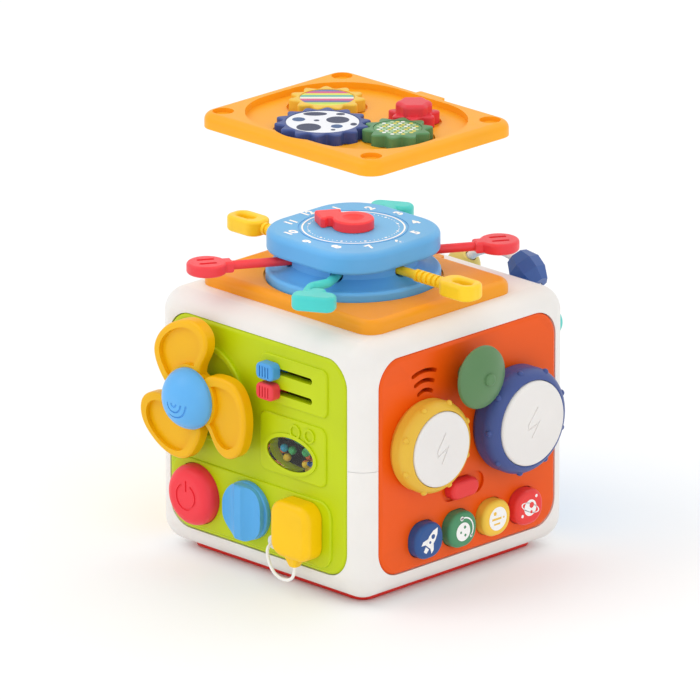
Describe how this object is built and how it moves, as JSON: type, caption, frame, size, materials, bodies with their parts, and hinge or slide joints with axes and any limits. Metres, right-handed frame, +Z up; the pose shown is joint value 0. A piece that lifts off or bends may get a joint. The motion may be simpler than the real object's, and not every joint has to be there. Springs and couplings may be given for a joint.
{
  "type": "baby activity cube",
  "caption": "Activity cube for babies with fan, sliders, keys, drums, clock with pull strings, bead arch and a lifted gear board.",
  "frame": {"origin": "underside of the base plate, below the middle of the cube's body", "axes": "+Z up; -Y is the green fan and slider panel, +X the orange drum panel, +Y the bead arch"},
  "size_m": [0.1924, 0.2109, 0.2528],
  "materials": {
    "white_abs": "satin moulded shell",
    "red_abs": "gloss",
    "battery_steel": "satin",
    "screw_steel": "satin",
    "green_abs": "satin",
    "orange_abs": "satin",
    "blue_panel_abs": "satin",
    "yellow_panel_abs": "satin",
    "board_orange": "satin",
    "sky_abs": "satin",
    "hand_red": "gloss",
    "string_yellow_rubber": "soft satin",
    "string_red_rubber": "soft satin",
    "string_teal_rubber": "soft satin",
    "fan_yellow": "satin",
    "button_red": "satin",
    "knob_blue": "satin",
    "plug_yellow": "satin",
    "cord_white": "soft satin",
    "clear_lens": "clear gloss",
    "cup_dark": "matt",
    "bead_mix": "gloss",
    "drum_yellow": "satin",
    "drum_navy": "satin",
    "drum_white": "matt",
    "cymbal_green": "satin",
    "switch_red": "satin",
    "key_navy": "satin",
    "key_green": "satin",
    "key_yellow": "satin",
    "key_red": "satin",
    "bead_cream": "satin",
    "bead_navy": "satin",
    "bead_teal": "satin",
    "gear_green": "satin",
    "board_lit_orange": "satin",
    "pcb_green": "solder mask",
    "speaker_black": "matt",
    "steel_pin": "polished"
  },
  "bodies": {
    "housing": {"lower_shell": "white_abs", "upper_shell": "white_abs", "base_plate": "red_abs", "battery_door": "red_abs", "battery_box": "white_abs", "batteries": "battery_steel", "housing_screws": "screw_steel", "front_panel": "green_abs", "right_panel": "orange_abs", "back_panel": "blue_panel_abs", "left_panel": "yellow_panel_abs", "top_board": "board_orange", "saucer_base": "sky_abs", "clock_disc": "sky_abs", "cord_grommet": "white_abs", "window_lens": "clear_lens", "rattle_cup": "cup_dark", "rattle_beads": "bead_mix", "drum_shell_yellow": "drum_yellow", "drum_shell_navy": "drum_navy", "circuit_board": "pcb_green", "speaker": "speaker_black", "arch_rod": "white_abs", "arch_foot_left": "white_abs", "arch_foot_right": "white_abs"},
    "fan": {"fan_blades": "fan_yellow", "fan_hub": "knob_blue", "fan_axle": "steel_pin"},
    "power_button": {"power_button": "button_red"},
    "rotary_knob": {"rotary_knob": "knob_blue", "knob_clip": "steel_pin"},
    "plug": {"power_plug": "plug_yellow", "plug_prongs": "steel_pin", "plug_cord": "cord_white"},
    "slider_blue": {"slider_blue": "knob_blue"},
    "slider_red": {"slider_red": "button_red"},
    "drum_head_yellow": {"drum_head_yellow": "drum_white"},
    "drum_head_navy": {"drum_head_navy": "drum_white"},
    "cymbal": {"cymbal": "cymbal_green"},
    "mode_switch": {"mode_switch": "switch_red"},
    "key_navy": {"key_navy": "key_navy"},
    "key_green": {"key_green": "key_green"},
    "key_yellow": {"key_yellow": "key_yellow"},
    "key_red": {"key_red": "key_red"},
    "clock_hand": {"clock_hand": "hand_red"},
    "string_yellow": {"string_yellow": "string_yellow_rubber"},
    "string_red": {"string_red": "string_red_rubber"},
    "string_teal": {"string_teal": "string_teal_rubber"},
    "bead_cream": {"arch_bead_cream": "bead_cream"},
    "bead_navy": {"arch_bead_navy": "bead_navy"},
    "bead_teal": {"arch_bead_teal": "bead_teal"},
    "gear_board": {"gear_board": "board_lit_orange", "gear_pins": "steel_pin"},
    "gear_navy": {"gear_navy": "drum_navy"},
    "gear_yellow": {"gear_yellow": "drum_yellow"},
    "gear_green": {"gear_green": "gear_green"},
    "gear_red": {"gear_red": "hand_red"}
  },
  "joints": [
    {"name": "fan_spin", "type": "hinge", "parent": "housing", "child": "fan", "pos_m": [-0.036, -0.09, 0.098], "axis": [0, -1, 0], "continuous": true},
    {"name": "power_press", "type": "slide", "parent": "housing", "child": "power_button", "axis": [0, 1, 0], "range_m": [0, 0.003], "stiffness_N_per_m": 400},
    {"name": "knob_turn", "type": "hinge", "parent": "housing", "child": "rotary_knob", "pos_m": [-0.0045, -0.085, 0.039], "axis": [0, -1, 0], "range_deg": [-150, 150]},
    {"name": "plug_pull", "type": "slide", "parent": "housing", "child": "plug", "axis": [0, -1, 0], "range_m": [0, 0.022]},
    {"name": "slider_blue_slide", "type": "slide", "parent": "housing", "child": "slider_blue", "axis": [1, 0, 0], "range_m": [0, 0.0256]},
    {"name": "slider_red_slide", "type": "slide", "parent": "housing", "child": "slider_red", "axis": [1, 0, 0], "range_m": [0, 0.0256]},
    {"name": "drum_yellow_press", "type": "slide", "parent": "housing", "child": "drum_head_yellow", "axis": [-1, 0, 0], "range_m": [0, 0.0025], "stiffness_N_per_m": 400},
    {"name": "drum_navy_press", "type": "slide", "parent": "housing", "child": "drum_head_navy", "axis": [-1, 0, 0], "range_m": [0, 0.0025], "stiffness_N_per_m": 400},
    {"name": "cymbal_press", "type": "slide", "parent": "housing", "child": "cymbal", "axis": [-1, 0, 0], "range_m": [0, 0.003], "stiffness_N_per_m": 400},
    {"name": "mode_slide", "type": "slide", "parent": "housing", "child": "mode_switch", "axis": [0, 1, 0], "range_m": [-0.003, 0.007]},
    {"name": "key_navy_press", "type": "slide", "parent": "housing", "child": "key_navy", "axis": [-1, 0, 0], "range_m": [0, 0.0025], "stiffness_N_per_m": 400},
    {"name": "key_green_press", "type": "slide", "parent": "housing", "child": "key_green", "axis": [-1, 0, 0], "range_m": [0, 0.0025], "stiffness_N_per_m": 400},
    {"name": "key_yellow_press", "type": "slide", "parent": "housing", "child": "key_yellow", "axis": [-1, 0, 0], "range_m": [0, 0.0025], "stiffness_N_per_m": 400},
    {"name": "key_red_press", "type": "slide", "parent": "housing", "child": "key_red", "axis": [-1, 0, 0], "range_m": [0, 0.0025], "stiffness_N_per_m": 400},
    {"name": "hand_turn", "type": "hinge", "parent": "housing", "child": "clock_hand", "pos_m": [0, -0.007, 0.185], "axis": [0, 0, 1], "continuous": true},
    {"name": "string_yellow_pull", "type": "slide", "parent": "housing", "child": "string_yellow", "axis": [1, 0.0087, 0], "range_m": [-0.01, 0.01]},
    {"name": "string_red_pull", "type": "slide", "parent": "housing", "child": "string_red", "axis": [0.515, 0.8572, 0], "range_m": [-0.01, 0.01]},
    {"name": "string_teal_pull", "type": "slide", "parent": "housing", "child": "string_teal", "axis": [-0.5, 0.866, 0], "range_m": [-0.01, 0.01]},
    {"name": "bead_cream_slide", "type": "hinge", "parent": "housing", "child": "bead_cream", "pos_m": [0.013, 0.093, 0.1147], "axis": [0, -1, 0], "range_deg": [-40, 40]},
    {"name": "bead_navy_slide", "type": "hinge", "parent": "housing", "child": "bead_navy", "pos_m": [0.013, 0.093, 0.1147], "axis": [0, -1, 0], "range_deg": [-8, 8]},
    {"name": "bead_teal_slide", "type": "hinge", "parent": "housing", "child": "bead_teal", "pos_m": [0.013, 0.093, 0.1147], "axis": [0, -1, 0], "range_deg": [-14, 8]},
    {"name": "board_lift", "type": "slide", "parent": "housing", "child": "gear_board", "axis": [0, 0, 1], "range_m": [-0.04, 0.03]},
    {"name": "gear_navy_spin", "type": "hinge", "parent": "gear_board", "child": "gear_navy", "pos_m": [-0.0005, -0.0298, 0.244], "axis": [0, 0, 1], "continuous": true},
    {"name": "gear_yellow_spin", "type": "hinge", "parent": "gear_board", "child": "gear_yellow", "pos_m": [-0.02941, 0.0023, 0.244], "axis": [0, 0, 1], "continuous": true},
    {"name": "gear_green_spin", "type": "hinge", "parent": "gear_board", "child": "gear_green", "pos_m": [0.03555, -0.00924, 0.244], "axis": [0, 0, 1], "continuous": true},
    {"name": "gear_red_spin", "type": "hinge", "parent": "gear_board", "child": "gear_red", "pos_m": [0.02179, 0.01697, 0.244], "axis": [0, 0, 1], "continuous": true}
  ],
  "couplings": [
    {"joint": "gear_yellow_spin", "follows": "gear_navy_spin", "ratio": -1.2727},
    {"joint": "gear_green_spin", "follows": "gear_navy_spin", "ratio": -1.4},
    {"joint": "gear_red_spin", "follows": "gear_navy_spin", "ratio": 2}
  ]
}
